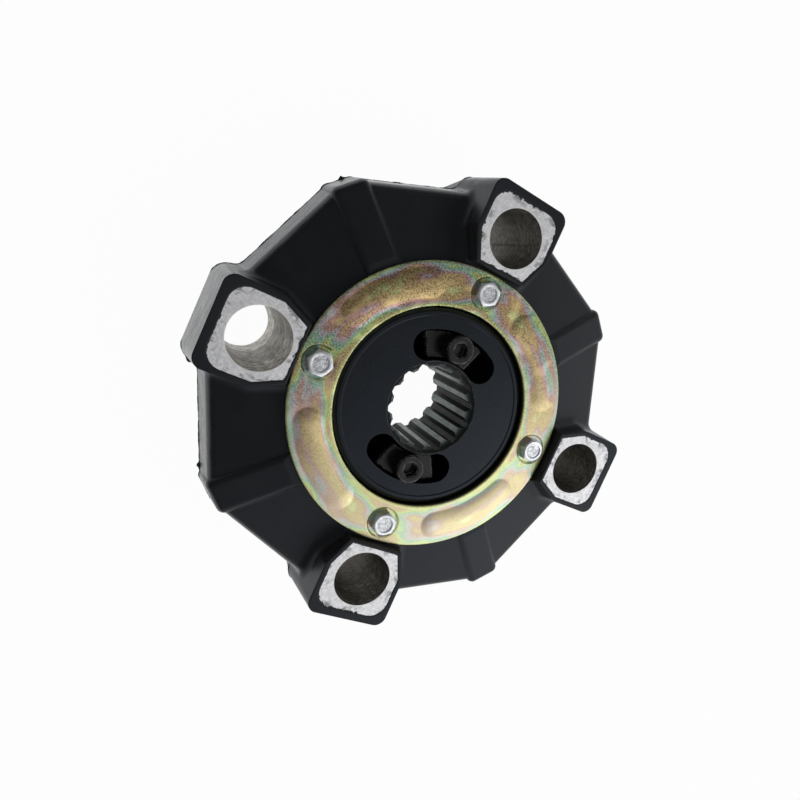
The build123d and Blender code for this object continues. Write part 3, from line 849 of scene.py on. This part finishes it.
def oiled_black(name, colour, settings):
    """Oiled black steel with worn corners that carry painted edge highlights, and greasy patches.
    """
    material, wiring, surface = new_material(name, Specular_IOR_Level=0.28)
    patches = smudges(wiring, size=4.0, coverage=0.5, softness=0.12)
    edges = worn_edges(wiring, width=0.9, breakup=2.6)
    tint = wiring.over(colour, settings.grease, patches, 0.6)
    # Worn corners that also paint bright highlights along the edges.
    tint = wiring.over(tint, settings.worn, edges["Mask"], 0.80)
    wiring.feed(surface["Base Color"], tint)
    wiring.feed(surface["Roughness"], wiring.plus(settings.roughness, patches, 0.12))
    pits = grain(wiring, size=0.6, detail=3.0)
    wiring.feed(surface["Normal"], wiring.bump(pits, 0.06 * MM, 0.5, edges["Normal"]))
    return material


def add_piece(name, mesh, material):
    """A new object made from a bmesh, with this material."""
    data = bpy.data.meshes.new(name)
    mesh.to_mesh(data)
    mesh.free()
    data.materials.append(material)
    piece = bpy.data.objects.new(name, data)
    bpy.context.scene.collection.objects.link(piece)
    return piece


def parting_line(body, height):
    """The rubber's outline at its parting line, as points in order round the shaft."""
    mesh = bmesh.new()
    mesh.from_mesh(body.data)
    bmesh.ops.remove_doubles(mesh, verts=mesh.verts, dist=WELD)
    on_line = {
        vert for vert in mesh.verts
        if abs(vert.co.z - height) < PARTING_LEVEL and vert.co.xy.length > ring_high.x
    }
    loop_edges = [edge for edge in mesh.edges if all(vert in on_line for vert in edge.verts)]
    beside = {}
    for edge in loop_edges:
        first, second = edge.verts
        beside.setdefault(first, []).append(second)
        beside.setdefault(second, []).append(first)
    if not beside:
        raise RuntimeError("the rubber body has no edge at its parting line")
    start = max(beside, key=lambda vert: vert.co.x)
    points = [start.co.copy()]
    last, here = None, start
    while True:
        onward = [vert for vert in beside[here] if vert is not last]
        last, here = here, onward[0]
        if here is start:
            break
        points.append(here.co.copy())
    mesh.free()
    if atan2(points[1].y, points[1].x) < atan2(points[0].y, points[0].x):
        points.reverse()
    return points


def evenly_spaced(points, spacing):
    """Points every spacing along a closed line."""
    spaced = []
    left = 0.0
    for first, second in zip(points, points[1:] + points[:1]):
        run = second - first
        while left < run.length:
            spaced.append(first + run * (left / run.length))
            left += spacing
        left -= run.length
    return spaced


def fin_reach(point, settings):
    """How far the fin stands out at a point: ragged all round, with a few torn tags."""
    long_waves, short_waves = FIN_WAVES
    ragged = noise.noise(point * long_waves) + 0.5 * noise.noise(point * short_waves)
    reach = settings.reach * min(1.0, max(FIN_LEAST, 0.5 + 0.6 * ragged))
    bearing = degrees(atan2(point.y, point.x))
    for tag_bearing, tag_width in FIN_TAGS:
        reach += settings.tag_reach * exp(-(((bearing - tag_bearing) / tag_width) ** 2))
    return reach


def add_flash(settings):
    """The fin of rubber at the parting line, as one closed strip of three-cornered section."""
    line = parting_line(frame["nodes"]["rubber_body"], parting_height)
    points = evenly_spaced(line, settings.spacing)
    mesh = bmesh.new()
    sections = []
    for before, point, after in zip(points[-1:] + points[:-1], points, points[1:] + points[:1]):
        along = (after - before).normalized()
        outward = Vector((along.y, -along.x, 0.0))
        inner = point - outward * FIN_ROOT
        tip = point + outward * fin_reach(point, settings)
        tip.x = min(max(tip.x, cad_low.x), cad_high.x)
        tip.y = min(max(tip.y, cad_low.y), cad_high.y)
        tip.z += FIN_SWAY * noise.noise(point * FIN_SWAY_WAVES)
        half = Vector((0.0, 0.0, settings.thickness / 2))
        sections.append([mesh.verts.new(corner) for corner in (inner + half, tip, inner - half)])
    for section, following in zip(sections, sections[1:] + sections[:1]):
        for corner in range(3):
            other = (corner + 1) % 3
            mesh.faces.new((section[corner], section[other], following[other], following[corner]))
    bmesh.ops.recalc_face_normals(mesh, faces=mesh.faces)
    flash = add_piece("mould_flash", mesh, bpy.data.materials["moulded_rubber"])
    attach(flash, BODY)


def white_paper(settings):
    """Floor's white paper: plain white to the camera and in reflections, with the soft shadow."""
    material, wiring, surface = new_material("white_paper", Roughness=0.9, Specular_IOR_Level=0.0)
    fibres = wiring.noise(wiring.place((0.6, 0.6, 0.6)), 1.0, 3.0)
    fibres = wiring.span(fibres, 0.3, 0.7, 0.985, 1.0)
    paper = wiring.mix(1.0, settings.floor_colour, fibres, "MULTIPLY")
    wiring.feed(surface["Base Color"], paper)
    nodes = material.node_tree.nodes
    rays = wiring.add("LightPath").outputs
    seen = wiring.math("MAXIMUM", rays["Is Camera Ray"], rays["Is Glossy Ray"])
    seen = wiring.math("MAXIMUM", seen, rays["Is Transmission Ray"])
    glow = wiring.add("Emission")
    blend = wiring.add("MixShader")
    wiring.feed(blend.inputs["Fac"], wiring.math("MULTIPLY", seen, settings.floor_glow))
    wiring.feed(blend.inputs[1], nodes["Principled BSDF"].outputs["BSDF"])
    wiring.feed(blend.inputs[2], glow.outputs["Emission"])
    wiring.feed(nodes["Material Output"].inputs["Surface"], blend.outputs["Shader"])
    return material


def add_floor(settings):
    """Square floor under the rear bosses."""
    mesh = bmesh.new()
    bmesh.ops.create_grid(mesh, x_segments=1, y_segments=1, size=settings.floor_size / 2)
    bmesh.ops.translate(mesh, verts=mesh.verts, vec=(0.0, 0.0, cad_low.z - FLOOR_GAP))
    floor = add_piece("floor", mesh, white_paper(settings))


def light_room(settings):
    """Dim light from all round with one broad bright side, white where the camera sees it."""
    world = bpy.data.worlds.new("room")
    bpy.context.scene.world = world
    world.use_nodes = True
    wiring = Wiring(world.node_tree)
    background = world.node_tree.nodes["Background"].inputs
    wiring.feed(background["Color"], WHITE)
    bright_side = from_angles(settings.glow_azimuth, settings.glow_elevation)
    towards = wiring.dot(wiring.add("TexCoord").outputs["Generated"], tuple(bright_side))
    strength = wiring.span(
        towards, settings.glow_edge, settings.glow_full, settings.sky, settings.glow
    )
    rays = wiring.add("LightPath").outputs
    strength = wiring.span(rays["Is Camera Ray"], 0.0, 1.0, strength, 1.0)
    wiring.feed(background["Strength"], strength)


def from_angles(azimuth, elevation):
    """Direction of a place seen from the coupling."""
    level = Vector((1.0, 0.0, 0.0))
    level.rotate(Quaternion((0.0, -1.0, 0.0), elevation))
    level.rotate(Quaternion((0.0, 0.0, 1.0), azimuth))
    return level


def add_softbox(name, settings):
    """The key or the fill: a rectangular lamp that looks at the middle of the coupling."""
    lamp = bpy.data.lights.new(name + "_softbox", "AREA")
    lamp.shape = "RECTANGLE"
    lamp.size = getattr(settings, name + "_width")
    lamp.size_y = getattr(settings, name + "_height")
    lamp.energy = getattr(settings, name + "_power")
    softbox = bpy.data.objects.new(name + "_softbox", lamp)
    azimuth = getattr(settings, name + "_azimuth")
    direction = from_angles(azimuth, getattr(settings, name + "_elevation"))
    softbox.location = direction * settings.softbox_distance
    softbox.rotation_mode = "QUATERNION"
    softbox.rotation_quaternion = (-direction).to_track_quat("-Z", "Y")
    bpy.context.scene.collection.objects.link(softbox)


def add_camera(settings):
    """Camera at the photograph's place, turned and framed as it was."""
    data = bpy.data.cameras.new("camera")
    data.lens = settings.lens
    data.shift_x = settings.shift_x
    data.shift_y = settings.shift_y
    data.clip_start = settings.clip_start
    camera = bpy.data.objects.new("camera", data)
    back = from_angles(settings.azimuth, settings.elevation)
    camera.location = Vector(settings.target) + back * settings.distance
    camera.rotation_mode = "QUATERNION"
    level = (-back).to_track_quat("-Z", "Y")
    camera.rotation_quaternion = level @ Quaternion((0.0, 0.0, 1.0), settings.roll)
    bpy.context.scene.collection.objects.link(camera)
    bpy.context.scene.camera = camera


class COUPLING_OT_rubber(bpy.types.Operator):
    """Finish the moulded rubber body"""

    bl_idname = "coupling.rubber"
    bl_label = "Rubber body"

    def execute(self, context):
        dress(["rubber_body"], moulded_rubber(context.scene.coupling_rubber))
        return {"FINISHED"}


class COUPLING_OT_flash(bpy.types.Operator):
    """Add the fin of rubber at the parting line"""

    bl_idname = "coupling.flash"
    bl_label = "Mould flash"

    def execute(self, context):
        add_flash(context.scene.coupling_flash)
        return {"FINISHED"}


class COUPLING_OT_inserts(bpy.types.Operator):
    """Finish the aluminium blocks of the four bosses"""

    bl_idname = "coupling.inserts"
    bl_label = "Boss inserts"

    def execute(self, context):
        dress(numbered("boss_insert", BOSSES), milled_aluminium(context.scene.coupling_aluminium))
        return {"FINISHED"}


class COUPLING_OT_ring(bpy.types.Operator):
    """Finish the retaining ring"""

    bl_idname = "coupling.ring"
    bl_label = "Retaining ring"

    def execute(self, context):
        dress(["retaining_ring"], yellow_zinc(context.scene.coupling_ring))
        return {"FINISHED"}


class COUPLING_OT_bolts(bpy.types.Operator):
    """Finish the ring's bolts"""

    bl_idname = "coupling.bolts"
    bl_label = "Ring bolts"

    def execute(self, context):
        dress(numbered("ring_bolt", BOSSES), bright_zinc(context.scene.coupling_bolt))
        return {"FINISHED"}


class COUPLING_OT_hub(bpy.types.Operator):
    """Finish the hub and its splined bore"""

    bl_idname = "coupling.hub"
    bl_label = "Hub"

    def execute(self, context):
        dress(["hub"], black_hub(context.scene.coupling_hub))
        return {"FINISHED"}


class COUPLING_OT_clamps(bpy.types.Operator):
    """Finish the clamping wedges and their screws"""

    bl_idname = "coupling.clamps"
    bl_label = "Clamping wedges"

    def execute(self, context):
        settings = context.scene.coupling_clamp
        dress(numbered("clamp_wedge", CLAMPS), oiled_black("oiled_wedge", settings.wedge, settings))
        dress(numbered("clamp_screw", CLAMPS), oiled_black("oiled_screw", settings.screw, settings))
        return {"FINISHED"}


class COUPLING_OT_studio(bpy.types.Operator):
    """Set up the floor, the lamps and the camera"""

    bl_idname = "coupling.studio"
    bl_label = "Studio"

    def execute(self, context):
        settings = context.scene.coupling_studio
        context.scene.view_settings.view_transform = "Standard"
        add_floor(settings)
        light_room(settings)
        for name in ("key", "fill"):
            add_softbox(name, settings)
        add_camera(settings)
        return {"FINISHED"}


OPERATORS = {
    COUPLING_OT_rubber: "coupling_rubber",
    COUPLING_OT_flash: "coupling_flash",
    COUPLING_OT_inserts: "coupling_aluminium",
    COUPLING_OT_ring: "coupling_ring",
    COUPLING_OT_bolts: "coupling_bolt",
    COUPLING_OT_hub: "coupling_hub",
    COUPLING_OT_clamps: "coupling_clamp",
    COUPLING_OT_studio: "coupling_studio",
}


class COUPLING_PT_sidebar(bpy.types.Panel):
    """The coupling's finishes, each with its sizes and colours"""

    bl_idname = "COUPLING_PT_sidebar"
    bl_label = "Shaft coupling"
    bl_space_type = "VIEW_3D"
    bl_region_type = "UI"
    bl_category = "Coupling"

    def draw(self, context):
        for operator, holder in OPERATORS.items():
            box = self.layout.box()
            settings = getattr(context.scene, holder)
            for name in SETTINGS[holder].__annotations__:
                box.prop(settings, name)
            box.operator(operator.bl_idname)


def register():
    """Make the settings, the operators and the panel known to Blender."""
    for holder, settings in SETTINGS.items():
        bpy.utils.register_class(settings)
        setattr(bpy.types.Scene, holder, PointerProperty(type=settings))
    for operator in OPERATORS:
        bpy.utils.register_class(operator)
    bpy.utils.register_class(COUPLING_PT_sidebar)


def unregister():
    """Take them out again."""
    bpy.utils.unregister_class(COUPLING_PT_sidebar)
    for operator in reversed(OPERATORS):
        bpy.utils.unregister_class(operator)
    for holder, settings in reversed(SETTINGS.items()):
        delattr(bpy.types.Scene, holder)
        bpy.utils.unregister_class(settings)


def main():
    """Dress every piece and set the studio."""
    register()
    for operator in OPERATORS:
        group, name = operator.bl_idname.split(".")
        getattr(getattr(bpy.ops, group), name)()


if __name__ == "__main__":
    main()
